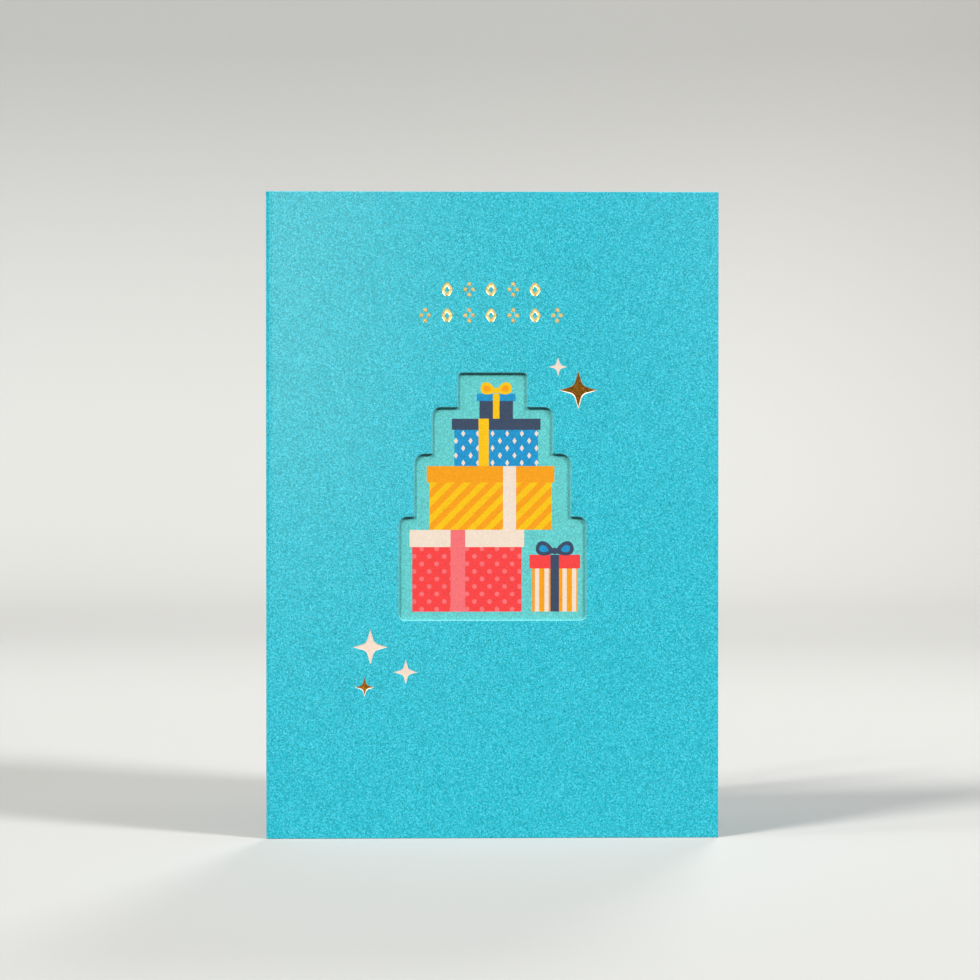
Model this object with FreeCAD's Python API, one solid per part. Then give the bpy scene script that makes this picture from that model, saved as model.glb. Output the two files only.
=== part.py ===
"""Folded window card: a creased board cover, standing open, with a printed panel glued behind its window.

Every length is in millimetres. The front panel faces -Y, the fold is on the -X side and +Z is up.
The origin is on the table, under the middle of the box that the standing card takes up.
"""
import FreeCAD, Part
import math
import os

Vector = FreeCAD.Vector
UP = Vector(0, 0, 1)

# The card and its board
CARD_WIDTH = 105.0       # front panel, from the outside of the fold to the cut fore-edge
CARD_HEIGHT = 150.0
BOARD = 0.5              # thickness of the cover board
OPEN_ANGLE = 40.0        # degrees between the two panels, as the card stands

# The creased fold
FOLD_RADIUS = 0.8        # outside of the bend
BEAD_RADIUS = 0.46       # ridge that the creasing rule raises along the inside of the bend

# The die-cut window: levels that narrow upwards, like a stack of blocks, about one centre line
WINDOW_CENTRE = 52.5     # from the outside of the fold
WINDOW_SILL = 50.8       # height of the lowest edge above the table
SILL_RADIUS = 1.1        # corners at the sill
STEP_RADIUS = 0.35       # inward corners, where one level stands on the next
LIP_RADIUS = 0.25        # shoulder that the die presses into the outer face, round the window
LEVELS = (               # width, height of the top edge above the table, radius of the shoulders
    (43.0, 74.4, 1.7),
    (35.8, 89.0, 2.2),
    (27.5, 99.8, 1.75),
    (15.7, 107.8, 0.95),
)

# The printed panel
PANEL = 0.35             # thickness
PANEL_MARGIN = 3.0       # the panel stops this far short of the fold and of the cover's cut edges

# Worked out from the above, in the plan frame: the front's outer face is y = 0 and its bend starts at x = 0
ANGLE = math.radians(OPEN_ANGLE)
ALONG_BACK = Vector(math.cos(ANGLE), math.sin(ANGLE), 0)
OUT_OF_BACK = Vector(-math.sin(ANGLE), math.cos(ANGLE), 0)
BEND_CENTRE = Vector(0, FOLD_RADIUS, 0)
PANEL_LENGTH = CARD_WIDTH - FOLD_RADIUS
DEPTH = FOLD_RADIUS + (OUT_OF_BACK * FOLD_RADIUS + ALONG_BACK * PANEL_LENGTH).y
TO_ROW_FRAME = Vector(FOLD_RADIUS - CARD_WIDTH / 2, -DEPTH / 2, 0)


def cover_section():
    """Plan of the bent board: two straight panels, the outside bend, and the crease bead inside it."""
    inner_radius = FOLD_RADIUS - BOARD
    bead_run = math.sqrt(BEAD_RADIUS ** 2 - inner_radius ** 2)
    into_bend = Vector(-math.cos(ANGLE / 2), -math.sin(ANGLE / 2), 0)

    front_bend = Vector(0, 0, 0)
    front_edge = Vector(PANEL_LENGTH, 0, 0)
    front_edge_inside = Vector(PANEL_LENGTH, BOARD, 0)
    front_bead = Vector(bead_run, BOARD, 0)
    back_bend = BEND_CENTRE + OUT_OF_BACK * FOLD_RADIUS
    back_edge = back_bend + ALONG_BACK * PANEL_LENGTH
    back_edge_inside = back_edge - OUT_OF_BACK * BOARD
    back_bead = BEND_CENTRE + OUT_OF_BACK * inner_radius + ALONG_BACK * bead_run

    edges = [
        Part.LineSegment(front_bend, front_edge),
        Part.LineSegment(front_edge, front_edge_inside),
        Part.LineSegment(front_edge_inside, front_bead),
        Part.Arc(front_bead, BEND_CENTRE - into_bend * BEAD_RADIUS, back_bead),
        Part.LineSegment(back_bead, back_edge_inside),
        Part.LineSegment(back_edge_inside, back_edge),
        Part.LineSegment(back_edge, back_bend),
        Part.Arc(back_bend, BEND_CENTRE + into_bend * FOLD_RADIUS, front_bend),
    ]
    return Part.Face(Part.Wire([edge.toShape() for edge in edges]))


def window_corners():
    """The window's corners in order round its outline: distance from the fold's bend, height, radius."""
    middle = WINDOW_CENTRE - FOLD_RADIUS
    right_side = [(LEVELS[0][0] / 2, WINDOW_SILL, SILL_RADIUS)]
    for index, (width, top, shoulder) in enumerate(LEVELS):
        right_side.append((width / 2, top, shoulder))
        if index + 1 < len(LEVELS):
            right_side.append((LEVELS[index + 1][0] / 2, top, STEP_RADIUS))
    left_side = [(-half, height, radius) for half, height, radius in reversed(right_side)]
    return [(middle + half, height, radius) for half, height, radius in right_side + left_side]


def window_cutter():
    """A prism of the window's outline, with every corner rounded, that passes through the front panel only."""
    corners = window_corners()
    arcs = []
    for index, (x, z, radius) in enumerate(corners):
        corner = Vector(x, 0, z)
        before = Vector(corners[index - 1][0], 0, corners[index - 1][1])
        after = Vector(corners[(index + 1) % len(corners)][0], 0, corners[(index + 1) % len(corners)][1])
        back = (before - corner).normalize()
        ahead = (after - corner).normalize()
        middle = corner + (back + ahead) * (radius * (1 - math.sqrt(0.5)))
        arcs.append(Part.Arc(corner + back * radius, middle, corner + ahead * radius))
    edges = []
    for arc, following in zip(arcs, arcs[1:] + arcs[:1]):
        edges.append(arc.toShape())
        edges.append(Part.LineSegment(arc.EndPoint, following.StartPoint).toShape())
    outline = Part.Face(Part.Wire(edges))
    outline.translate(Vector(0, -BOARD, 0))
    return outline.extrude(Vector(0, 3 * BOARD, 0))


def folded_cover():
    """The bent board with its window cut out and the pressed shoulder round the window's outer edge."""
    board = cover_section().extrude(UP * CARD_HEIGHT)
    cover = board.cut(window_cutter())
    inside_front = FreeCAD.BoundBox(1, -BOARD / 4, 1, PANEL_LENGTH - 1, BOARD / 4, CARD_HEIGHT - 1)
    window_edge = [edge for edge in cover.Edges if inside_front.isInside(edge.BoundBox)]
    return cover.makeFillet(LIP_RADIUS, window_edge)


def printed_panel():
    """A flat rectangular sheet, glued with its printed face against the inside of the cover's front."""
    width = CARD_WIDTH - 2 * PANEL_MARGIN
    height = CARD_HEIGHT - 2 * PANEL_MARGIN
    corner = Vector(PANEL_MARGIN - FOLD_RADIUS, BOARD, PANEL_MARGIN)
    return Part.makeBox(width, PANEL, height, corner)


os.makedirs("parts", exist_ok=True)
for node, shape in (("folded_cover", folded_cover()), ("printed_panel", printed_panel())):
    shape.translate(TO_ROW_FRAME)
    shape.exportStep("parts/" + node + ".step")
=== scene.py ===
"""A folded greeting card that stands open.

Its cover is pearl board with stamped marks, and a printed panel is glued behind the window in its front.
"""

import math

import bmesh
import bpy
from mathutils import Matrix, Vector
from mathutils.geometry import delaunay_2d_cdt, interpolate_bezier


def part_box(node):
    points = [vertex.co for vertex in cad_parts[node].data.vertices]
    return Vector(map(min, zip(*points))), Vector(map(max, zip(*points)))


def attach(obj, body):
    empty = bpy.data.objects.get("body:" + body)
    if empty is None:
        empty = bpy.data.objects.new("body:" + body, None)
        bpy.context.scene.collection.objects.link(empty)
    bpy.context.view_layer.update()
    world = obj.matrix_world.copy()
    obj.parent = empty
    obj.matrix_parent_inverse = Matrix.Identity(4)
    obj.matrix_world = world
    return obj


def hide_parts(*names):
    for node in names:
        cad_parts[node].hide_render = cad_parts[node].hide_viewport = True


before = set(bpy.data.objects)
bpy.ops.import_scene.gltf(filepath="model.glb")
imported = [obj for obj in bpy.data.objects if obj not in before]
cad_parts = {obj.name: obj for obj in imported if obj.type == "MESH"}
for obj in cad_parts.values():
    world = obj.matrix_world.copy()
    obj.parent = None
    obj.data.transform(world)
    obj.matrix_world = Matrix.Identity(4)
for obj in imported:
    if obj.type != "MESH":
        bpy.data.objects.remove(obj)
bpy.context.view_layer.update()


# ----------------------------------------------------------------------------------------------------
# The cover board
# One sheet of turquoise pearl board. A blunt rule has pressed the crease at the left, and the sheet is
# folded round it. A steel die has cut the stepped window and rolled the window's outer edge, whose shoulder
# is painted paler as a painted highlight. The other edges are trimmed.
# ----------------------------------------------------------------------------------------------------
MM = 0.001
cover_low, cover_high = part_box("folded_cover")
panel_low, panel_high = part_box("printed_panel")
FRONT_FACE = cover_low.y                 # outer face of the front, which looks towards -Y
BOARD = panel_low.y - cover_low.y        # thickness of the board
CARD_HEIGHT = cover_high.z
FOLD_RADIUS = 0.8 * MM                   # outside of the bend
BEAD_RADIUS = 0.46 * MM                  # ridge on the inside of the bend
OPEN_ANGLE = math.radians(40)
TRIM_ROUND = 0.15 * MM                   # the trimming blade leaves the board's edges this round
END_ROUND = 0.85 * TRIM_ROUND            # the same at the board's top and bottom ends
RIDGE_HEIGHT = 0.02 * MM                 # the outer face swells a little beside the bend
RIDGE_WIDTH = 0.7 * MM
BEND_STEPS = 12
BEAD_STEPS = 8
RIDGE_STEPS = 6
ROUND_STEPS = 3

WINDOW_SILL = 50.8 * MM
SILL_RADIUS = 1.1 * MM
STEP_RADIUS = 0.4 * MM                   # inward corners, where one level stands on the next
LIP_EDGE = 0.08 * MM                     # the cut stands this far outside the window's nominal outline
LIP_WIDTH = 0.28 * MM                    # the rolled shoulder round the window
LIP_DEPTH = 0.36 * MM
LIP_UNDERCUT = 0.14 * MM                 # the cut leans out behind the shoulder
LEVELS = (                               # width, height of the top edge, radius of the shoulders
    (43.0 * MM, 74.4 * MM, 1.7 * MM),
    (35.8 * MM, 89.0 * MM, 2.2 * MM),
    (27.5 * MM, 99.8 * MM, 1.75 * MM),
    (15.7 * MM, 107.8 * MM, 0.95 * MM),
)
CORNER_STEPS = 8
LIP_STEPS = 6
FACE_SLOT, CUT_SLOT, LIP_SLOT = 0, 1, 2  # the cover's materials
SMOOTH_BELOW = math.radians(38)          # faces that meet at a smaller angle than this are shaded as one


def arc(centre, radius, start, end, steps):
    """Points on an arc in plan, both ends included. Angles are in radians."""
    angles = [start + (end - start) * step / steps for step in range(steps + 1)]
    return [Vector((centre[0] + radius * math.cos(angle), centre[1] + radius * math.sin(angle)))
            for angle in angles]


def quarter(steps):
    """Angles that divide a quarter turn evenly, both ends included."""
    return [math.pi / 2 * step / steps for step in range(steps + 1)]


def half_plan():
    """The bend's centre, and the plan of the board from the outside of the bend to the bead's middle.

    It runs along the front and back inside. Each point comes with the kind of surface that starts at it.
    """
    centre = (cover_low.x + FOLD_RADIUS, FRONT_FACE + FOLD_RADIUS)
    free = cover_high.x - TRIM_ROUND
    inner_face = FRONT_FACE + BOARD
    middle = OPEN_ANGLE / 2
    bead = -math.asin((FOLD_RADIUS - BOARD) / BEAD_RADIUS)
    bend = arc(centre, FOLD_RADIUS, middle - math.pi, -math.pi / 2, BEND_STEPS)
    points = [(point, "board") for point in bend]
    for step in range(1, RIDGE_STEPS + 1):
        swell = RIDGE_HEIGHT * math.sin(math.pi * step / RIDGE_STEPS) ** 2
        points.append((Vector((centre[0] + RIDGE_WIDTH * step / RIDGE_STEPS, FRONT_FACE - swell)), "board"))
    points[-1] = (points[-1][0], "outer face")
    outer_round = arc((free, FRONT_FACE + TRIM_ROUND), TRIM_ROUND, -math.pi / 2, 0, ROUND_STEPS)
    inner_round = arc((free, inner_face - TRIM_ROUND), TRIM_ROUND, 0, math.pi / 2, ROUND_STEPS)
    points += [(point, "board") for point in outer_round[:-1]] + [(outer_round[-1], "cut")]
    points += [(point, "board") for point in inner_round[:-1]] + [(inner_round[-1], "inner face")]
    points += [(point, "board") for point in arc(centre, BEAD_RADIUS, bead, middle, BEAD_STEPS)]
    return centre, points


def whole_plan():
    """The half plan and its mirror image across the line that halves the opening."""
    centre, front = half_plan()
    origin = Vector(centre)
    along = Vector((math.cos(OPEN_ANGLE / 2), math.sin(OPEN_ANGLE / 2)))
    back = []
    for index in range(len(front) - 2, 0, -1):
        offset = front[index][0] - origin
        place = origin + 2 * offset.dot(along) * along - offset
        kind = front[index - 1][1]
        back.append((place, "board" if kind.endswith("face") else kind))
    turn = (front[-1][0], "board")
    return front[:-1] + [turn] + back


def inset(outline, amount):
    """The outline moved inwards by the same amount all round; it runs anticlockwise."""
    moved = []
    for index, point in enumerate(outline):
        before = (point - outline[index - 1]).normalized()
        after = (outline[(index + 1) % len(outline)] - point).normalized()
        inward = Vector((-before.y - after.y, before.x + after.x))
        moved.append(point + inward * (amount * 2 / inward.length_squared))
    return moved


def window_loop(outward):
    """The window's outline as (x, z) points, grown by the given distance into the board."""
    half = [(LEVELS[0][0] / 2, WINDOW_SILL, SILL_RADIUS)]
    for index, (width, height, shoulder) in enumerate(LEVELS):
        half.append((width / 2, height, shoulder))
        if index + 1 < len(LEVELS):
            half.append((LEVELS[index + 1][0] / 2, height, STEP_RADIUS))
    corners = half + [(-x, z, radius) for x, z, radius in reversed(half)]
    loop = []
    for index, (x, z, radius) in enumerate(corners):
        corner = Vector((x, z))
        back = (Vector(corners[index - 1][:2]) - corner).normalized()
        ahead = (Vector(corners[(index + 1) % len(corners)][:2]) - corner).normalized()
        turns_in = back.cross(ahead) > 0
        reach = radius - outward if turns_in else radius + outward
        centre = corner + (back + ahead) * radius
        for swing in quarter(CORNER_STEPS):
            loop.append(centre - ahead * (reach * math.cos(swing)) - back * (reach * math.sin(swing)))
    return loop


def inside(point, loop):
    """Whether a point lies inside a closed loop of points."""
    found = False
    for index, end in enumerate(loop):
        start = loop[index - 1]
        if (start[1] > point[1]) != (end[1] > point[1]):
            crossing = start[0] + (point[1] - start[1]) * (end[0] - start[0]) / (end[1] - start[1])
            found ^= point[0] < crossing
    return found


WHOLE_HULL, ONLY_OUTLINES = 0, 1         # what a triangulation covers
CLOSEST = 1e-6                           # millimetres; points nearer than this are taken as one


def fill(mesh, outline, hole, flatten, material):
    """Covers the flat area inside an outline, and outside a hole, with triangles between their vertices."""
    ring = outline + hole
    flat = [Vector(flatten(vertex.co)) / MM for vertex in ring]
    sizes = (len(outline), len(hole))
    edges = [(i, (i + 1) % sizes[0]) for i in range(sizes[0])]
    edges += [(sizes[0] + i, sizes[0] + (i + 1) % sizes[1]) for i in range(sizes[1])]
    points, _, triangles, sources, _, _ = delaunay_2d_cdt(flat, edges, [], WHOLE_HULL, CLOSEST)
    for triangle in triangles:
        middle = sum((points[i] for i in triangle), Vector((0, 0))) / 3
        if inside(middle, flat[:sizes[0]]) and not inside(middle, flat[sizes[0]:]):
            face = mesh.faces.new([ring[sources[i][0]] for i in triangle])
            face.material_index = material


def cover_mesh():
    """The bent board as one closed shell, with its window, rolled shoulder and rounded trim."""
    plan = whole_plan()
    outline = [point for point, _ in plan]
    kinds = [kind for _, kind in plan]
    turns = quarter(ROUND_STEPS)
    levels = [(END_ROUND * (1 - math.sin(turn)), END_ROUND * (1 - math.cos(turn))) for turn in turns]
    levels += [(inward, CARD_HEIGHT - height) for inward, height in reversed(levels)]
    tall = len(levels) // 2 - 1          # the level whose faces run the card's whole height
    turns = quarter(LIP_STEPS)
    profile = [(LIP_EDGE + LIP_WIDTH * (1 - math.sin(turn)), LIP_DEPTH * (1 - math.cos(turn)))
               for turn in turns]
    profile.append((LIP_UNDERCUT, BOARD))
    mesh = bmesh.new()
    rings, window = [], []
    for inward, height in levels:
        rings.append([mesh.verts.new((x, y, height)) for x, y in inset(outline, inward)])
    for outward, depth in profile:
        window.append([mesh.verts.new((x, FRONT_FACE + depth, z)) for x, z in window_loop(outward)])
    for level in range(len(rings) - 1):
        low, high = rings[level], rings[level + 1]
        for i, kind in enumerate(kinds):
            j = (i + 1) % len(kinds)
            corners = [low[i], low[j], high[j], high[i]]
            if level == tall and kind.endswith("face"):
                hole = window[0] if kind == "outer face" else window[-1]
                fill(mesh, corners, hole, lambda co: (co.x, co.z), FACE_SLOT)
            else:
                mesh.faces.new(corners).material_index = CUT_SLOT if kind == "cut" else FACE_SLOT
    for ring in (rings[0], rings[-1]):
        fill(mesh, ring, [], lambda co: (co.x, co.y), CUT_SLOT)
    for level in range(len(window) - 1):
        near, far = window[level], window[level + 1]
        slot = CUT_SLOT if level == LIP_STEPS else LIP_SLOT
        for i in range(len(near)):
            j = (i + 1) % len(near)
            mesh.faces.new([near[i], near[j], far[j], far[i]]).material_index = slot
    bmesh.ops.recalc_face_normals(mesh, faces=mesh.faces)
    for face in mesh.faces:
        face.smooth = True
    return mesh


def object_from(mesh, name, materials):
    """A scene object from an edited mesh, with sharp edges kept sharp."""
    data = bpy.data.meshes.new(name)
    mesh.to_mesh(data)
    mesh.free()
    for material in materials:
        data.materials.append(material)
    data.set_sharp_from_angle(angle=SMOOTH_BELOW)
    made = bpy.data.objects.new(name, data)
    bpy.context.scene.collection.objects.link(made)
    return made


def feed(tree, socket, value):
    """Sets an input to a value, or links it to the output socket that feeds it."""
    if isinstance(value, bpy.types.NodeSocket):
        tree.links.new(value, socket)
    else:
        socket.default_value = value


def add(tree, kind, **inputs):
    """A node of the given kind in a tree, with its inputs fed by name."""
    node = tree.nodes.new(kind)
    for name, value in inputs.items():
        feed(tree, node.inputs[name.replace("_", " ")], value)
    return node


def calc(tree, operation, *values, kind="ShaderNodeMath"):
    """The result of a maths node whose inputs are fed in order."""
    node = tree.nodes.new(kind)
    node.operation = operation
    for socket, value in zip(node.inputs, values):
        feed(tree, socket, value)
    return node.outputs[0]


def calc_vector(tree, operation, *values):
    """The result of a vector maths node."""
    return calc(tree, operation, *values, kind="ShaderNodeVectorMath")


def blend_colours(tree, factor, first, second):
    """The first colour where the factor is 0, and the second where it is 1."""
    node = tree.nodes.new("ShaderNodeMix")
    node.data_type = "RGBA"
    ends = [socket for socket in node.inputs if socket.type == "RGBA"]
    feed(tree, node.inputs["Factor"], factor)
    feed(tree, ends[0], first)
    feed(tree, ends[1], second)
    return next(socket for socket in node.outputs if socket.type == "RGBA")


def sockets(tree, direction, names):
    """Declares a group's named sockets, given as {name: (kind, default)}."""
    for name, (kind, default) in names.items():
        socket = tree.interface.new_socket(name, in_out=direction, socket_type="NodeSocket" + kind)
        if default is not None:
            socket.default_value = default


FIBRES_PER_FLECK = 0.55
FIBRE_HEIGHT = 0.04 * MM
MOTTLES_PER_METRE = 260.0
GLINT_RARITY = 4.0                       # the higher it is, the fewer flakes get a painted glint


def fleck_group():
    """Pearl flakes and soft mottling in coloured paper: one colour in, a varied colour and relief out."""
    tree = bpy.data.node_groups.new("pearl_flecks", "ShaderNodeTree")
    sockets(tree, "INPUT", {
        "Colour": ("Color", (0.5, 0.5, 0.5, 1)),
        "Fleck Size": ("Float", 0.0003),
        "Fleck Contrast": ("Float", 0.2),
        "Mottle Contrast": ("Float", 0.03),
        "Glint": ("Float", 0.02),
        "Relief": ("Float", 0.3),
        "Tilt": ("Float", 0.1),
    })
    sockets(tree, "OUTPUT", {
        "Colour": ("Color", None),
        "Fleck": ("Float", None),
        "Normal": ("Vector", None),
    })
    given = tree.nodes.new("NodeGroupInput").outputs
    place = tree.nodes.new("ShaderNodeTexCoord").outputs["Object"]
    scaled = calc_vector(tree, "DIVIDE", place, given["Fleck Size"])
    cells = add(tree, "ShaderNodeTexVoronoi", Vector=scaled, Scale=1.0).outputs["Color"]
    fibre = add(tree, "ShaderNodeTexNoise", Vector=scaled, Scale=FIBRES_PER_FLECK, Detail=3.0, Roughness=0.6)
    mottle = add(tree, "ShaderNodeTexNoise", Vector=place, Scale=MOTTLES_PER_METRE, Detail=3.0,
                 Roughness=0.55)
    split = add(tree, "ShaderNodeSeparateColor", Color=cells)

    def spread(value, contrast):
        """1 plus or minus the contrast as the value runs from 0 to 1."""
        return calc(tree, "MULTIPLY_ADD", calc(tree, "MULTIPLY_ADD", value, 2.0, -1.0), contrast, 1.0)

    brightness = calc(tree, "MULTIPLY", spread(split.outputs["Green"], given["Fleck Contrast"]),
                      spread(mottle.outputs["Fac"], given["Mottle Contrast"]))
    varied = calc_vector(tree, "MULTIPLY", given["Colour"], brightness)
    # Painted glint: the brightest flakes have their colour mixed towards white.
    glint = calc(tree, "MULTIPLY", calc(tree, "POWER", split.outputs["Green"], GLINT_RARITY), given["Glint"])
    either_way = calc_vector(tree, "SUBTRACT", cells, (0.5, 0.5, 0.5))
    leaning = calc_vector(tree, "MULTIPLY_ADD", either_way, given["Tilt"],
                          tree.nodes.new("ShaderNodeNewGeometry").outputs["Normal"])
    relief = add(tree, "ShaderNodeBump", Strength=given["Relief"], Distance=FIBRE_HEIGHT,
                 Height=fibre.outputs["Fac"], Normal=calc_vector(tree, "NORMALIZE", leaning))
    result = tree.nodes.new("NodeGroupOutput")
    feed(tree, result.inputs["Colour"], blend_colours(tree, glint, varied, (1, 1, 1, 1)))
    feed(tree, result.inputs["Fleck"], split.outputs["Blue"])
    feed(tree, result.inputs["Normal"], relief.outputs["Normal"])
    return tree


FLECKS = fleck_group()
ROUGHNESS_SPREAD = 0.03                  # how far a flake's roughness may be from its sheet's


def new_material(name):
    """A material and its node tree, which is empty."""
    material = bpy.data.materials.new(name)
    material.use_nodes = True
    material.node_tree.nodes.clear()
    return material, material.node_tree


def show(tree, surface):
    """Sends a shader to the material's output."""
    result = tree.nodes.new("ShaderNodeOutputMaterial")
    feed(tree, result.inputs["Surface"], surface.outputs["BSDF"])


def pearl_sheet(name, colour, roughness, gloss, contrast,
                size=0.27 * MM, mottle=0.04, glint=0.0, relief=0.15, tilt=0.05):
    """Paper or board with pearl flakes. Gloss is its specular level, and relief is that of its fibres.

    Contrast, size and tilt are the flakes'; glint is how far some flakes are painted towards white, a painted
    glint. Mottle is the contrast of the soft patches.
    """
    material, tree = new_material(name)
    flecks = tree.nodes.new("ShaderNodeGroup")
    flecks.node_tree = FLECKS
    values = {"Colour": (*colour, 1), "Fleck Size": size, "Fleck Contrast": contrast,
              "Mottle Contrast": mottle, "Glint": glint, "Relief": relief, "Tilt": tilt}
    for socket, value in values.items():
        flecks.inputs[socket].default_value = value
    uneven = calc(tree, "MULTIPLY_ADD", flecks.outputs["Fleck"], 2 * ROUGHNESS_SPREAD,
                  roughness - ROUGHNESS_SPREAD)
    show(tree, add(tree, "ShaderNodeBsdfPrincipled", Base_Color=flecks.outputs["Colour"], Roughness=uneven,
                   Normal=flecks.outputs["Normal"], Specular_IOR_Level=gloss))
    return material


PEARL_BOARD = pearl_sheet("pearl_board", (0.002, 0.502, 0.637), roughness=0.26, gloss=0.47, contrast=0.38,
                          size=0.2 * MM, glint=0.1, relief=0.1)
# The cut faces are darker than the face: partly the board's core, partly painted shade that deepens the
# window's recess.
CUT_BOARD_WITH_PAINTED_SHADE = pearl_sheet("cut_board_painted_shade", (0.06, 0.44, 0.51), roughness=0.8, gloss=0.2, contrast=0.12,
                        size=0.15 * MM, relief=0.6)
# The rolled shoulder round the window is given a paler board colour: a painted highlight along its edge.
PAINTED_LIP_HIGHLIGHT = pearl_sheet("painted_lip_highlight", (0.125, 0.48, 0.525), roughness=0.45, gloss=0.35, contrast=0.2,
                           size=0.2 * MM, relief=0.1)
cover = object_from(cover_mesh(), "cover_board", (PEARL_BOARD, CUT_BOARD_WITH_PAINTED_SHADE, PAINTED_LIP_HIGHLIGHT))


# ----------------------------------------------------------------------------------------------------
# The gold and cream stamping
# Heated dies press metal foil and matt cream film into the front. Each mark lies a little below the board,
# in a dish with sloping sides. Sparkles are four-pointed; two rows of small ornaments run across the top.
# ----------------------------------------------------------------------------------------------------
LARGE_GOLD_SPARKLES = ((19.9, 104.0, 9.1),)  # millimetres: across, up, tip to tip
SMALL_GOLD_SPARKLES = ((-29.7, 35.1, 4.8),)
CREAM_SPARKLES = ((15.2, 109.4, 4.55), (-28.35, 44.45, 8.4), (-20.15, 38.6, 5.9))
CLEAR = 0.02 * MM                        # the dies start this far outside the face
# How deep the dies reach and how wide their sides are, as shares of the distance from a sparkle's middle to
# its tip. The small gold die bears harder at its upper right.
LARGE_PRESSING = {"Depth": 0.05, "Side Width": 0.04, "Tip Retreat": 0.1}
SMALL_PRESSING = {"Depth": 0.065, "Side Width": 0.062, "Tip Retreat": 0.2, "Lean": 0.045}
CREAM_PRESSING = {"Depth": 0.018}
UPPER_SIDES, LOWER_SIDES = -0.06, 0.02   # between these heights the sides turn from steep to broad
MOST_INWARDS = 0.8                       # a side takes up at most this share of the way to the middle line
ORNAMENT_ROWS = ((5, 127.35), (7, 121.35))   # marks in a row, and its height in millimetres
ORNAMENT_STEP = 5.1                      # millimetres from mark to mark
ORNAMENT_MIDDLE = -0.35
ORNAMENT = {"Width": 2.9 * MM, "Height": 3.9 * MM, "Stroke": 0.7 * MM, "Depth": 0.13 * MM}
LINE_ROOM = 1.2                          # strokes by which a lozenge's line is smaller than the mark
KIND_MARGIN = 0.1                        # kinds are whole numbers, which are compared as decimals
DOT_RADIUS = 0.72                        # in strokes
DOTS_ACROSS, DOTS_UP = 0.42, 0.8         # how far out dots lie, in the line's widths and half heights
CREASED_ABOVE = math.radians(26)         # inside a mark, sides and floor meet in a crisp line


def geometry_tree(name, inputs):
    """An empty geometry node tree with geometry in and out and the given named inputs."""
    tree = bpy.data.node_groups.new(name, "GeometryNodeTree")
    sockets(tree, "INPUT", {"Geometry": ("Geometry", None)})
    sockets(tree, "INPUT", inputs)
    sockets(tree, "OUTPUT", {"Geometry": ("Geometry", None)})
    given = tree.nodes.new("NodeGroupInput").outputs
    return tree, given, tree.nodes.new("NodeGroupOutput").inputs["Geometry"]


def joined(tree, *parts):
    """The parts' geometry put together."""
    node = tree.nodes.new("GeometryNodeJoinGeometry")
    for part in parts:
        tree.links.new(part, node.inputs[0])
    return node.outputs[0]


FACING_FRONT = (-math.pi / 2, 0, 0)      # turns a flat shape to face -Y


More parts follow.
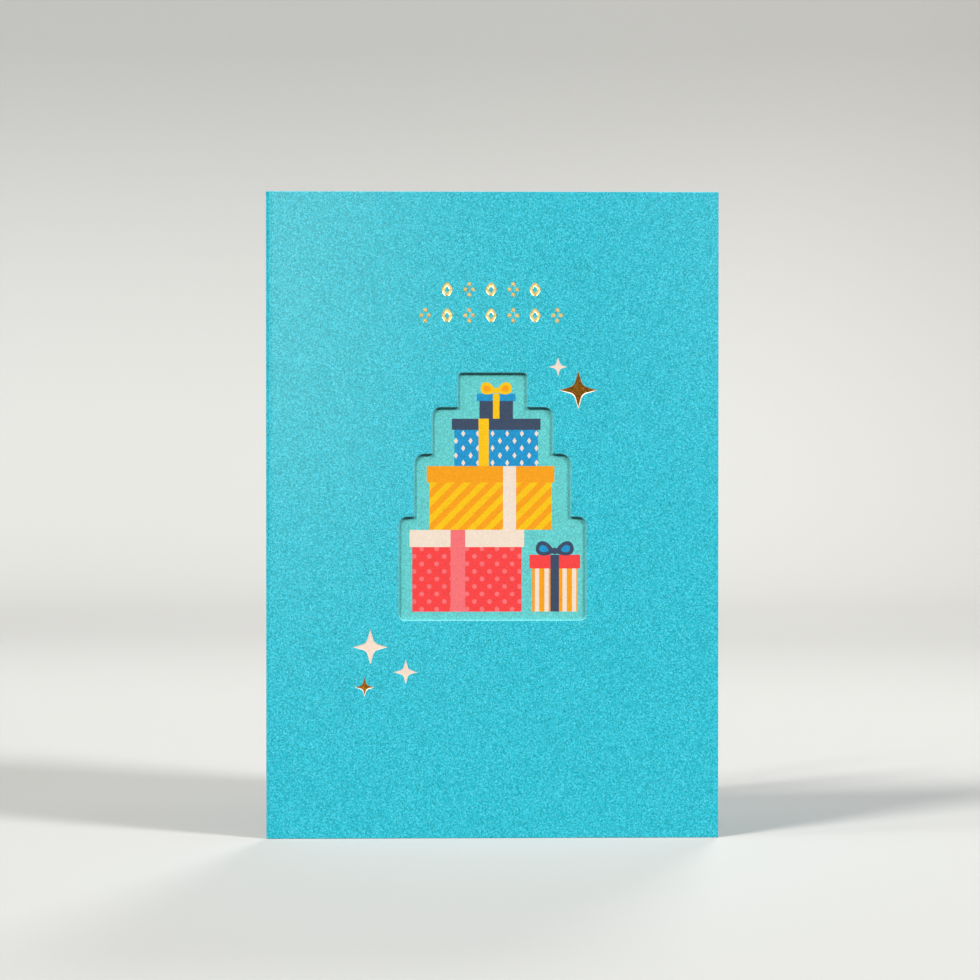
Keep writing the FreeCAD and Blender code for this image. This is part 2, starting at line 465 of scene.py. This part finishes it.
def sparkle_tree():
    """Four-pointed dies on the points given, each as large as its point's size.

    Their sides slope inwards, broadly along the lower edges and steeply along the upper ones. On the flat
    die, down is +Y.
    """
    tree, given, out = geometry_tree("sparkle_die", {
        "Waist": ("Float", 0.32),
        "Waist Round": ("Float", 0.4),
        "Depth": ("Float", 0.05),
        "Lean": ("Float", 0.0),
        "Side Width": ("Float", 0.043),
        "Tip Retreat": ("Float", 0.08),
        "Steep Share": ("Float", 0.2),
        "Material": ("Material", None),
        "Side Material": ("Material", None),
    })
    # The outline has sharp tips and round waists, and fits a circle of radius 1.
    star = add(tree, "GeometryNodeCurveStar", Points=4, Outer_Radius=1.0, Inner_Radius=given["Waist"])
    tips = add(tree, "GeometryNodeSwitch")
    tips.input_type = "FLOAT"
    feed(tree, tips.inputs["Switch"], star.outputs["Outer Points"])
    feed(tree, tips.inputs["False"], given["Waist Round"])
    feed(tree, tips.inputs["True"], 0.0)
    rounded = add(tree, "GeometryNodeFilletCurve", Curve=star.outputs["Curve"], Radius=tips.outputs["Output"])
    rounded.mode = "POLY"
    rounded.inputs["Count"].default_value = 10
    flat = add(tree, "GeometryNodeFillCurve", Curve=rounded.outputs["Curve"])
    flat.mode = "NGONS"
    # Pushing it out makes the die's floor, which is its top here, and its sides.
    reach = add(tree, "ShaderNodeCombineXYZ", Z=given["Depth"]).outputs[0]
    pushed = add(tree, "GeometryNodeExtrudeMesh", Mesh=flat.outputs["Mesh"], Offset=reach, Offset_Scale=1.0)
    # The floor shrinks inwards, and back from the tips, so that the sides slope.
    position = tree.nodes.new("GeometryNodeInputPosition").outputs[0]
    place = calc_vector(tree, "MULTIPLY", position, (1, 1, 0))
    along = add(tree, "ShaderNodeSeparateXYZ", Vector=place).outputs
    broad = add(tree, "ShaderNodeMapRange", Value=along["Y"], From_Min=UPPER_SIDES, From_Max=LOWER_SIDES,
                To_Min=given["Steep Share"], To_Max=1.0).outputs["Result"]
    side = add(tree, "ShaderNodeCombineXYZ", X=given["Side Width"], Y=given["Side Width"]).outputs[0]
    opposite = calc_vector(tree, "MULTIPLY", side, (-1, -1, -1))
    share = calc_vector(tree, "MULTIPLY", place, (-MOST_INWARDS, -MOST_INWARDS, 0))
    inwards = calc_vector(tree, "MINIMUM", side, calc_vector(tree, "MAXIMUM", opposite, share))
    cubed = calc_vector(tree, "MULTIPLY", calc_vector(tree, "MULTIPLY", place, place), place)
    at_tips = calc_vector(tree, "MULTIPLY", cubed, given["Tip Retreat"])
    moved = calc_vector(tree, "MULTIPLY", calc_vector(tree, "SUBTRACT", inwards, at_tips), broad)
    sloped = add(tree, "GeometryNodeSetPosition", Geometry=pushed.outputs["Mesh"],
                 Selection=pushed.outputs["Top"], Offset=moved)
    # The floor leans, and the outline turned over closes the die.
    lean = add(tree, "ShaderNodeCombineXYZ",
               Z=calc(tree, "MULTIPLY", calc(tree, "SUBTRACT", along["X"], along["Y"]), given["Lean"]))
    leaning = add(tree, "GeometryNodeSetPosition", Geometry=sloped.outputs[0],
                  Selection=pushed.outputs["Top"], Offset=lean.outputs[0])
    lid = add(tree, "GeometryNodeFlipFaces", Mesh=flat.outputs["Mesh"])
    closed = add(tree, "GeometryNodeMergeByDistance", Distance=1e-6,
                 Geometry=joined(tree, leaning.outputs[0], lid.outputs[0]))
    # Each point gets a die of its own size.
    size = add(tree, "GeometryNodeInputNamedAttribute", Name="size").outputs["Attribute"]
    placed = add(tree, "GeometryNodeInstanceOnPoints", Points=given["Geometry"], Instance=closed.outputs[0],
                 Rotation=FACING_FRONT, Scale=size)
    real = add(tree, "GeometryNodeRealizeInstances", Geometry=placed.outputs["Instances"])
    coated = add(tree, "GeometryNodeSetMaterial", Geometry=real.outputs[0], Material=given["Material"])
    rimmed = add(tree, "GeometryNodeSetMaterial", Geometry=coated.outputs[0],
                 Selection=pushed.outputs["Side"], Material=given["Side Material"])
    tree.links.new(rimmed.outputs[0], out)
    return tree


def ornament_tree():
    """Dies for a row of ornaments: an open lozenge where kind is 0, and four dots where it is 1.

    Strokes and dots are elliptical in section, and press a rounded channel into the face they straddle.
    """
    tree, given, out = geometry_tree("ornament_die", {
        "Width": ("Float", 0.0026),
        "Height": ("Float", 0.0036),
        "Stroke": ("Float", 0.0006),
        "Depth": ("Float", 0.0001),
        "Material": ("Material", None),
    })
    # The lozenge is an elliptical stroke along an upright kite with bent corners.
    half_stroke = calc(tree, "MULTIPLY", given["Stroke"], 0.5)
    room = calc(tree, "MULTIPLY", given["Stroke"], -LINE_ROOM / 2)
    reach = calc(tree, "MULTIPLY_ADD", given["Height"], 0.5, room)
    across = calc(tree, "MULTIPLY_ADD", given["Stroke"], -LINE_ROOM, given["Width"])
    ring = add(tree, "GeometryNodeCurvePrimitiveQuadrilateral")
    ring.mode = "KITE"
    feed(tree, ring.inputs["Width"], across)
    feed(tree, ring.inputs["Bottom Height"], reach)
    feed(tree, ring.inputs["Top Height"], reach)
    bent = add(tree, "GeometryNodeFilletCurve", Curve=ring.outputs["Curve"], Radius=half_stroke)
    bent.mode = "POLY"
    bent.inputs["Count"].default_value = 4
    upright = add(tree, "GeometryNodeSetCurveNormal", Curve=bent.outputs["Curve"])
    upright.mode = "Z_UP"
    section = add(tree, "GeometryNodeCurvePrimitiveCircle", Resolution=16, Radius=1.0)
    section_size = add(tree, "ShaderNodeCombineXYZ", X=half_stroke, Y=given["Depth"], Z=1.0)
    stroke = add(tree, "GeometryNodeTransform", Geometry=section.outputs["Curve"],
                 Scale=section_size.outputs[0])
    line = add(tree, "GeometryNodeCurveToMesh", Curve=upright.outputs["Curve"],
               Profile_Curve=stroke.outputs[0])
    # The four dots are flat balls above, below and at both sides of the middle.
    ball = add(tree, "GeometryNodeMeshUVSphere", Segments=14, Rings=8, Radius=1.0)
    dot_radius = calc(tree, "MULTIPLY", given["Stroke"], DOT_RADIUS)
    dot_size = add(tree, "ShaderNodeCombineXYZ", X=dot_radius, Y=dot_radius, Z=given["Depth"])
    flat_ball = add(tree, "GeometryNodeTransform", Geometry=ball.outputs["Mesh"], Scale=dot_size.outputs[0])
    corners = add(tree, "GeometryNodeMeshCircle", Vertices=4, Radius=1.0)
    spacing = add(tree, "ShaderNodeCombineXYZ", X=calc(tree, "MULTIPLY", across, DOTS_ACROSS),
                  Y=calc(tree, "MULTIPLY", reach, DOTS_UP), Z=1.0)
    four = add(tree, "GeometryNodeTransform", Geometry=corners.outputs["Mesh"], Scale=spacing.outputs[0])
    dots = add(tree, "GeometryNodeInstanceOnPoints", Points=four.outputs[0], Instance=flat_ball.outputs[0])
    # Each point gets the mark of its kind.
    kind = add(tree, "GeometryNodeInputNamedAttribute", Name="kind").outputs["Attribute"]
    marks = []
    for wanted, mark in ((0, line.outputs["Mesh"]), (1, dots.outputs["Instances"])):
        chosen = calc(tree, "COMPARE", kind, float(wanted), KIND_MARGIN)
        marks.append(add(tree, "GeometryNodeInstanceOnPoints", Points=given["Geometry"], Selection=chosen,
                         Instance=mark, Rotation=FACING_FRONT).outputs["Instances"])
    real = add(tree, "GeometryNodeRealizeInstances", Geometry=joined(tree, *marks))
    coated = add(tree, "GeometryNodeSetMaterial", Geometry=real.outputs[0], Material=given["Material"])
    tree.links.new(coated.outputs[0], out)
    return tree


def made_by(tree, name, points, attribute, values, inputs):
    """Runs a geometry tree on points that carry one attribute, and makes the result a plain mesh object."""
    seed = bpy.data.meshes.new(name)
    seed.from_pydata(points, [], [])
    seed.attributes.new(attribute, "FLOAT", "POINT").data.foreach_set("value", values)
    holder = bpy.data.objects.new(name, seed)
    bpy.context.scene.collection.objects.link(holder)
    modifier = holder.modifiers.new(name, "NODES")
    modifier.node_group = tree
    for item in tree.interface.items_tree:
        if item.in_out == "INPUT" and item.name in inputs:
            modifier[item.identifier] = inputs[item.name]
    data = bpy.data.meshes.new_from_object(holder.evaluated_get(bpy.context.evaluated_depsgraph_get()))
    holder.modifiers.remove(modifier)
    holder.data = data
    return holder


CRINKLES_PER_METRE = 2600.0
CRINKLE_HEIGHT = 0.03 * MM
TONES_PER_METRE = 2900.0


def metal_foil(name, colour, roughness, contrast):
    """Foil stamped on board: metal, unevenly deep in colour, that the fibres under it crinkle."""
    material, tree = new_material(name)
    place = tree.nodes.new("ShaderNodeTexCoord").outputs["Object"]
    crinkle = add(tree, "ShaderNodeTexNoise", Vector=place, Scale=CRINKLES_PER_METRE, Detail=2.0)
    relief = add(tree, "ShaderNodeBump", Strength=0.4, Distance=CRINKLE_HEIGHT, Height=crinkle.outputs["Fac"])
    tone = add(tree, "ShaderNodeTexVoronoi", Vector=place, Scale=TONES_PER_METRE)
    darker = (*[value * (1 - contrast) for value in colour], 1)
    paler = (*[min(1, value * (1 + contrast)) for value in colour], 1)
    show(tree, add(tree, "ShaderNodeBsdfPrincipled", Metallic=1.0, Roughness=roughness,
                   Normal=relief.outputs["Normal"],
                   Base_Color=blend_colours(tree, tone.outputs["Color"], darker, paler)))
    return material


# The sides of the gold marks are pale matt cream rather than gold: a painted highlight along their rims.
GOLD_FOIL = metal_foil("gold_foil", (0.9, 0.285, 0.032), roughness=0.152, contrast=0.5)
ROW_FOIL = metal_foil("row_foil", (0.8, 0.62, 0.27), roughness=0.28, contrast=0.2)
PAINTED_RIM_HIGHLIGHT = pearl_sheet("painted_rim_highlight", (0.79, 0.7, 0.58), roughness=0.45, gloss=0.65, contrast=0.1)
CREAM_FILM = pearl_sheet("cream_film", (0.89, 0.71, 0.59), roughness=0.6, gloss=0.3, contrast=0.07)
STAMPED = (GOLD_FOIL, ROW_FOIL, PAINTED_RIM_HIGHLIGHT, CREAM_FILM)
sparkles = sparkle_tree()


def sparkle_die(name, marks, pressing, material, side_material):
    """Dies for sparkles given as (across, up, tip to tip) in millimetres."""
    points = [(across * MM, FRONT_FACE - CLEAR, up * MM) for across, up, _ in marks]
    sizes = [tip_to_tip / 2 * MM for _, _, tip_to_tip in marks]
    return made_by(sparkles, name, points, "size", sizes,
                   pressing | {"Material": material, "Side Material": side_material})


def ornament_die(name):
    """Dies for both rows of ornaments, which alternate from a lozenge in the middle of each row."""
    points, kinds = [], []
    for count, height in ORNAMENT_ROWS:
        for index in range(count):
            from_middle = index - (count - 1) / 2
            points.append(((ORNAMENT_MIDDLE + ORNAMENT_STEP * from_middle) * MM, FRONT_FACE, height * MM))
            kinds.append(float(abs(int(from_middle)) % 2))
    return made_by(ornament_tree(), name, points, "kind", kinds, ORNAMENT | {"Material": ROW_FOIL})


def press(board, die):
    """Cuts a die's shape into the board and keeps the die's material on the new faces."""
    cut = board.modifiers.new("press", "BOOLEAN")
    cut.operation = "DIFFERENCE"
    cut.solver = "MANIFOLD"
    cut.material_mode = "TRANSFER"
    cut.object = die
    pressed = bpy.data.meshes.new_from_object(board.evaluated_get(bpy.context.evaluated_depsgraph_get()))
    board.modifiers.remove(cut)
    board.data = pressed
    bpy.data.objects.remove(die)


def shade_pressed(board):
    """Smooth shading all over, but with a crisp line where a mark's edge meets the face round it."""
    for polygon in board.data.polygons:
        polygon.use_smooth = True
    board.data.set_sharp_from_angle(angle=SMOOTH_BELOW)
    marks = {board.data.materials.find(material.name) for material in STAMPED}
    mesh = bmesh.new()
    mesh.from_mesh(board.data)
    for edge in mesh.edges:
        materials = {face.material_index for face in edge.link_faces}
        if len(materials) > 1 or (materials & marks and edge.calc_face_angle() > CREASED_ABOVE):
            edge.smooth = False
    mesh.to_mesh(board.data)
    mesh.free()
    weigh = board.modifiers.new("weigh", "WEIGHTED_NORMAL")
    weigh.keep_sharp = True
    weigh.weight = 100
    weighed = bpy.data.meshes.new_from_object(board.evaluated_get(bpy.context.evaluated_depsgraph_get()))
    board.modifiers.remove(weigh)
    board.data = weighed


press(cover, sparkle_die("large_gold_sparkle", LARGE_GOLD_SPARKLES, LARGE_PRESSING, GOLD_FOIL, PAINTED_RIM_HIGHLIGHT))
press(cover, sparkle_die("small_gold_sparkle", SMALL_GOLD_SPARKLES, SMALL_PRESSING, GOLD_FOIL, PAINTED_RIM_HIGHLIGHT))
press(cover, sparkle_die("cream_sparkles", CREAM_SPARKLES, CREAM_PRESSING, CREAM_FILM, CREAM_FILM))
press(cover, ornament_die("ornament_rows"))
shade_pressed(cover)
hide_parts("folded_cover")
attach(cover, "root")


# ----------------------------------------------------------------------------------------------------
# The printed panel
# A flat sheet of paler pearl paper, printed in flat colours and glued behind the window with its print
# outwards. The print shows wrapped presents in a pile, and sits a little to the right of the window's middle.
# ----------------------------------------------------------------------------------------------------
PANEL_ROUGHNESS = 0.6
INK_GLOSS = 0.25
INKS = {"ground": pearl_sheet("panel_sheet", (0.128, 0.605, 0.605), PANEL_ROUGHNESS, gloss=0.2, contrast=0.2)}
for ink, ink_colour, ink_contrast in (
    ("red", (0.91, 0.052, 0.054), 0.08),
    ("blue", (0.008, 0.29, 0.60), 0.2),
    ("yellow", (0.92, 0.54, 0.002), 0.08),
    ("orange", (0.91, 0.345, 0.004), 0.08),
    ("pink", (0.90, 0.165, 0.18), 0.08),
    ("cream", (0.87, 0.73, 0.61), 0.05),
    ("navy", (0.038, 0.062, 0.115), 0.15),
):
    INKS[ink] = pearl_sheet("ink_" + ink, ink_colour, PANEL_ROUGHNESS, INK_GLOSS, ink_contrast)
PRINT_SHIFT = 0.35                       # the print is worked out in millimetres, as is all below
LID_OVERHANG = 0.6
RED_BOX = (-19.0, 52.6, 6.4, 71.6)       # left, low, right, high
STRIPED_BOX = (8.8, 52.6, 19.4, 65.8)
YELLOW_BOX = (-15.0, 71.6, 13.4, 86.4)
BLUE_BOX = (-9.2, 86.4, 10.2, 97.4)
NAVY_BOX = (-3.4, 97.4, 4.4, 103.2)
SPOTS = (-19.0, 53.0, 6.4, 67.4)         # where motifs lie on the boxes, below their lids
DIAGONALS = (-15.0, 71.6, 13.4, 82.6)
GEMS = (-9.2, 86.9, 10.2, 94.2)
PALE_STRIPES = (9.5, 11.7, 15.9, 18.1)   # their left edges
STRIPE_WIDTH = 1.0
STRIPES_FROM, STRIPES_TO = 52.6, 62.6    # from the box's foot to its lid
BOWS = (                                 # middle, height of the seat, reach, height, ink, lining
    (14.1, 66.4, 4.4, 2.6, "navy", "blue"),
    (0.5, 103.7, 3.6, 2.2, "yellow", "orange"),
)
BOW_TIP = (1.0, 0.45)                    # how a loop of a bow bulges, in reaches and heights of the bow
BOW_UPPER = ((0.3, 1.15), (0.9, 1.3))
BOW_LOWER = ((1.08, -0.5), (0.4, -0.45))
OPENING_SIZE = 0.5                       # of a loop
OPENING_SHIFT = (0.62, 0.3)
KNOT_RISE, KNOT_RADIUS = 0.1, 0.3        # in heights of the bow
CURVE_POINTS = 10
DOT_POINTS = 16
SAME_POINT = 1e-5                        # points of the print that are nearer than this are joined


def bar(left, low, right, high):
    """An upright rectangle's outline."""
    return [(left, low), (right, low), (right, high), (left, high)]


def dot(x, z, radius):
    """A round dot's outline."""
    turns = [math.tau * point / DOT_POINTS for point in range(DOT_POINTS)]
    return [(x + radius * math.cos(turn), z + radius * math.sin(turn)) for turn in turns]


def lozenge(x, z, width, height):
    """A lozenge's outline."""
    return [(x - width / 2, z), (x, z - height / 2), (x + width / 2, z), (x, z + height / 2)]


def staggered(area, step, shape):
    """The shape at every second place of a grid that is centred on the area."""
    left, low, right, high = area
    columns = int((right - left) / step)
    rows = int((high - low) / step)
    start = ((left + right - columns * step) / 2, (low + high - rows * step) / 2)
    return [shape(start[0] + step * column, start[1] + step * row)
            for column in range(columns + 1) for row in range(rows + 1) if (column + row) % 2]


def slanted(area, width, step):
    """Stripes that climb to the right at 45 degrees and end at the area's edges."""
    left, low, right, high = area
    stripes = []
    foot = left - (high - low) + step / 2
    while foot < right:
        corners = []
        for edge in (foot, foot + width):
            enter = max(edge, left)
            leave = min(edge + high - low, right)
            if leave > enter:
                corners.append(((enter, low + enter - edge), (leave, low + leave - edge)))
        if len(corners) == 2:
            (near_start, near_end), (far_start, far_end) = corners
            outline = [near_start, far_start, far_end, near_end]
            if near_start[0] == left and far_start[0] > left:
                outline.insert(1, (left, low))
            if far_end[0] == right and near_end[0] < right:
                outline.insert(-1, (right, high))
            stripes.append(outline)
        foot += step
    return stripes


def bow(x, z, reach, height):
    """A tied bow: the outlines of its two loops, of the openings in them, and of its knot."""
    def loop(scale, side):
        """One loop on the left (-1) or right (1), or its opening, which is a smaller loop inside it."""
        shift = reach * (1 - scale) * OPENING_SHIFT[0]
        rise = height * (1 - scale) * OPENING_SHIFT[1]

        def place(across, up):
            """A point given in reaches and heights of the loop."""
            return Vector((shift + reach * scale * across, height * scale * up))

        knot_end, tip = place(0, 0), place(*BOW_TIP)
        upper = interpolate_bezier(knot_end, *[place(*handle) for handle in BOW_UPPER], tip, CURVE_POINTS)
        lower = interpolate_bezier(tip, *[place(*handle) for handle in BOW_LOWER], knot_end, CURVE_POINTS)
        outline = [(x + side * point.x, z + point.y + rise) for point in upper[:-1] + lower[:-1]]
        return outline[::-side]

    loops = [loop(1.0, side) for side in (-1, 1)]
    openings = [loop(OPENING_SIZE, side) for side in (-1, 1)]
    knot = dot(x, z + height * KNOT_RISE, height * KNOT_RADIUS)
    return loops, openings, knot


def present(inks, box, lid, ribbon, ribbon_width, motif_ink=None, motifs=()):
    """A wrapped box seen from the front: body, its motifs, ribbon, and a lid that overhangs the body.

    The inks are those of the body, the lid and the ribbon.
    """
    body_ink, lid_ink, ribbon_ink = inks
    left, low, right, high = box
    seam = high - lid
    ribbon_left, ribbon_right = ribbon - ribbon_width / 2, ribbon + ribbon_width / 2
    shapes = [(body_ink, bar(left, low, right, seam))]
    shapes += [(motif_ink, motif) for motif in motifs]
    shapes.append((ribbon_ink, bar(ribbon_left, low, ribbon_right, seam)))
    shapes.append((lid_ink, bar(left - LID_OVERHANG, seam, right + LID_OVERHANG, high)))
    shapes.append((ribbon_ink, bar(ribbon_left, seam, ribbon_right, high)))
    return shapes


def printed_shapes():
    """The print, bottom layer first: (ink, outline)."""
    spots = staggered(SPOTS, step=1.75, shape=lambda x, z: dot(x, z, radius=0.55))
    stripes = [bar(left, STRIPES_FROM, left + STRIPE_WIDTH, STRIPES_TO) for left in PALE_STRIPES]
    diagonals = slanted(DIAGONALS, width=2.0, step=3.9)
    gems = staggered(GEMS, step=1.7, shape=lambda x, z: lozenge(x, z, width=0.95, height=1.5))
    shapes = present(("red", "cream", "pink"), RED_BOX, lid=4.0, ribbon=-8.4, ribbon_width=3.4,
                     motif_ink="pink", motifs=spots)
    shapes += present(("orange", "red", "navy"), STRIPED_BOX, lid=3.2, ribbon=14.1, ribbon_width=2.0,
                      motif_ink="cream", motifs=stripes)
    shapes += present(("yellow", "orange", "cream"), YELLOW_BOX, lid=3.8, ribbon=3.6, ribbon_width=3.0,
                      motif_ink="orange", motifs=diagonals)
    shapes += present(("blue", "navy", "yellow"), BLUE_BOX, lid=2.6, ribbon=-2.4, ribbon_width=2.4,
                      motif_ink="cream", motifs=gems)
    shapes += present(("navy", "blue", "yellow"), NAVY_BOX, lid=1.7, ribbon=0.5, ribbon_width=1.5)
    for middle, seat, reach, height, bow_ink, lining in BOWS:
        loops, openings, knot = bow(middle, seat, reach, height)
        shapes += [(bow_ink, outline) for outline in loops]
        shapes += [(lining, outline) for outline in openings]
        shapes.append((bow_ink, knot))
    return [(name, [(x + PRINT_SHIFT, z) for x, z in outline]) for name, outline in shapes]


def panel_mesh():
    """A flat closed sheet whose printed face is divided along the edges of the inks."""
    names = list(INKS)
    low, high = panel_low / MM, panel_high / MM
    shapes = [("ground", bar(low.x, low.z, high.x, high.z))] + printed_shapes()
    points, faces = [], []
    for _, outline in shapes:
        faces.append(list(range(len(points), len(points) + len(outline))))
        points += [Vector(point) for point in outline]
    flat, _, triangles, _, _, covers = delaunay_2d_cdt(points, [], faces, ONLY_OUTLINES, SAME_POINT)
    mesh = bmesh.new()
    front = [mesh.verts.new((p.x * MM, panel_low.y, p.y * MM)) for p in flat]
    for triangle, above in zip(triangles, covers):
        mesh.faces.new([front[i] for i in triangle]).material_index = names.index(shapes[max(above)][0])
    rim = [min(front, key=lambda v: (v.co - Vector((x, panel_low.y, z))).length)
           for x, z in bar(panel_low.x, panel_low.z, panel_high.x, panel_high.z)]
    back = [mesh.verts.new((v.co.x, panel_high.y, v.co.z)) for v in rim]
    mesh.faces.new(back)
    for i in range(4):
        mesh.faces.new([rim[i], rim[(i + 1) % 4], back[(i + 1) % 4], back[i]])
    bmesh.ops.recalc_face_normals(mesh, faces=mesh.faces)
    return mesh


panel = object_from(panel_mesh(), "printed_panel_sheet", INKS.values())
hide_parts("printed_panel")
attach(panel, "root")


# ----------------------------------------------------------------------------------------------------
# The table, lamps and camera
# A matt pale floor curves up into a wall behind the card. Soft key lamps stand far to its left and right,
# weaker lamps light its left edge and its back, a strip hangs over it, and two small windows show only in
# its gloss.
# ----------------------------------------------------------------------------------------------------
FLOOR_REACH = 3.0                        # metres of floor in front
WALL_PLACE = 1.2                         # metres from the card to the wall behind it
SWEEP_RADIUS = 0.35
WALL_HEIGHT = 0.6
WALL_START, WALL_RISE = -0.55, 0.3       # where the wall begins and how soon it is whole, front to back
STAGE_TURNS = 96
SWEEP_BENDS = 12
STAGE_ROUGHNESS = 0.85
STAGE_PALE = (0.42, 0.42, 0.41)
IN_FRONT_SLOT, BEHIND_SLOT = 0, 1


def stage_mesh():
    """A floor that curves up into a wall behind and beside the card and stays open in front of it."""
    mesh = bmesh.new()
    columns = []
    for turn in range(STAGE_TURNS):
        angle = math.tau * turn / STAGE_TURNS
        wall = max(0.0, min(1.0, (math.sin(angle) - WALL_START) / WALL_RISE))
        reach = FLOOR_REACH + (WALL_PLACE - FLOOR_REACH) * wall
        profile = [(reach - SWEEP_RADIUS * (1 - math.sin(swing)), SWEEP_RADIUS * (1 - math.cos(swing)))
                   for swing in quarter(SWEEP_BENDS)]
        profile.append((reach, WALL_HEIGHT))
        columns.append([mesh.verts.new((out * math.cos(angle), out * math.sin(angle), up * wall))
                        for out, up in profile])
    centre = mesh.verts.new((0, 0, 0))
    for turn in range(STAGE_TURNS):
        near, far = columns[turn], columns[(turn + 1) % STAGE_TURNS]
        mesh.faces.new([centre, near[0], far[0]])
        for k in range(len(near) - 1):
            mesh.faces.new([near[k], near[k + 1], far[k + 1], far[k]])
    for face in mesh.faces:
        face.smooth = True
        face.material_index = BEHIND_SLOT if face.calc_center_median().y > 0 else IN_FRONT_SLOT
    return mesh


def stage_paint(name, bounced):
    """Matt paint that looks pale itself, and in reflections, but throws less light back at the card."""
    material, tree = new_material(name)
    path = tree.nodes.new("ShaderNodeLightPath").outputs
    mirrored = calc(tree, "MAXIMUM", path["Is Glossy Ray"], path["Is Transmission Ray"])
    seen = calc(tree, "MAXIMUM", path["Is Camera Ray"], mirrored)
    paint = blend_colours(tree, seen, (bounced, bounced, bounced, 1), (*STAGE_PALE, 1))
    show(tree, add(tree, "ShaderNodeBsdfPrincipled", Base_Color=paint, Roughness=STAGE_ROUGHNESS))
    return material


in_front = stage_paint("stage_in_front", bounced=0.015)
behind = stage_paint("stage_behind", bounced=0.25)
stage = object_from(stage_mesh(), "stage", (in_front, behind))

CARD_MIDDLE = Vector((0, FRONT_FACE, CARD_HEIGHT / 2))
LAMP_SPREAD = math.radians(14)           # how wide a far lamp looks from the card


def lamp_towards(name, kind, turn, climb, colour):
    """A lamp, its holder, and the way to it, which is turned to the right and raised by these degrees."""
    turn, climb = math.radians(turn), math.radians(climb)
    towards = Vector((math.sin(turn) * math.cos(climb), -math.cos(turn) * math.cos(climb), math.sin(climb)))
    lamp = bpy.data.lights.new(name, kind)
    lamp.color = colour
    holder = bpy.data.objects.new(name, lamp)
    holder.rotation_euler = towards.to_track_quat("Z", "Y").to_euler()
    bpy.context.scene.collection.objects.link(holder)
    return lamp, holder, towards


def far_lamp(name, turn, climb, level, colour):
    """A distant soft lamp. A white sheet that faces it is lit to the given level, where 1 is white."""
    lamp, _, _ = lamp_towards(name, "SUN", turn, climb, colour)
    lamp.angle = LAMP_SPREAD
    lamp.energy = math.pi * level


def softbox(name, turn, climb, distance, size, level, colour=(1, 1, 1), gloss_only=False):
    """A flat lamp aimed at the card. A white sheet at the card that faces it is lit to the given level.

    A lamp for gloss only shows in glossy surfaces and adds nothing to matt ones.
    """
    lamp, holder, towards = lamp_towards(name, "AREA", turn, climb, colour)
    lamp.shape = "RECTANGLE"
    lamp.size, lamp.size_y = size
    lamp.energy = level * (math.pi * distance) ** 2
    holder.location = CARD_MIDDLE + towards * distance
    holder.visible_camera = False
    holder.visible_diffuse = not gloss_only


far_lamp("left_key", turn=-50, climb=43, level=1.02, colour=(1, 0.97, 0.92))
far_lamp("right_key", turn=60, climb=34, level=1.02, colour=(0.97, 0.99, 1))
far_lamp("left_edge", turn=-80, climb=32, level=0.25, colour=(1, 1, 1))
far_lamp("back_fill", turn=165, climb=40, level=0.35, colour=(1, 1, 1))
softbox("overhead_strip", turn=0, climb=77, distance=4, size=(4, 0.8), level=0.3)
softbox("left_window", turn=-8, climb=9, distance=0.75, size=(0.1, 0.3), level=0.097,
        colour=(1, 0.95, 0.6), gloss_only=True)
softbox("right_window", turn=13, climb=13, distance=0.75, size=(0.1, 0.3), level=0.052,
        colour=(0.9, 0.96, 1), gloss_only=True)

world = bpy.data.worlds.new("studio")
world.use_nodes = True
world.node_tree.nodes["Background"].inputs["Color"].default_value = (0.01, 0.01, 0.01, 1)
bpy.context.scene.world = world

CAMERA_DISTANCE = 650 * MM
CAMERA_PLACE = Vector((-15.5 * MM, FRONT_FACE - CAMERA_DISTANCE, 93.6 * MM))
AIM = Vector((-0.6 * MM, FRONT_FACE, 87.9 * MM))
lens = bpy.data.cameras.new("camera")
lens.sensor_width = 36
lens.lens = 103
lens.shift_y = -0.031                    # the card's upright edges stay nearly parallel
camera = bpy.data.objects.new("camera", lens)
camera.location = CAMERA_PLACE
camera.rotation_euler = (AIM - CAMERA_PLACE).to_track_quat("-Z", "Y").to_euler()
bpy.context.scene.collection.objects.link(camera)
bpy.context.scene.camera = camera
bpy.context.scene.view_settings.view_transform = "Standard"
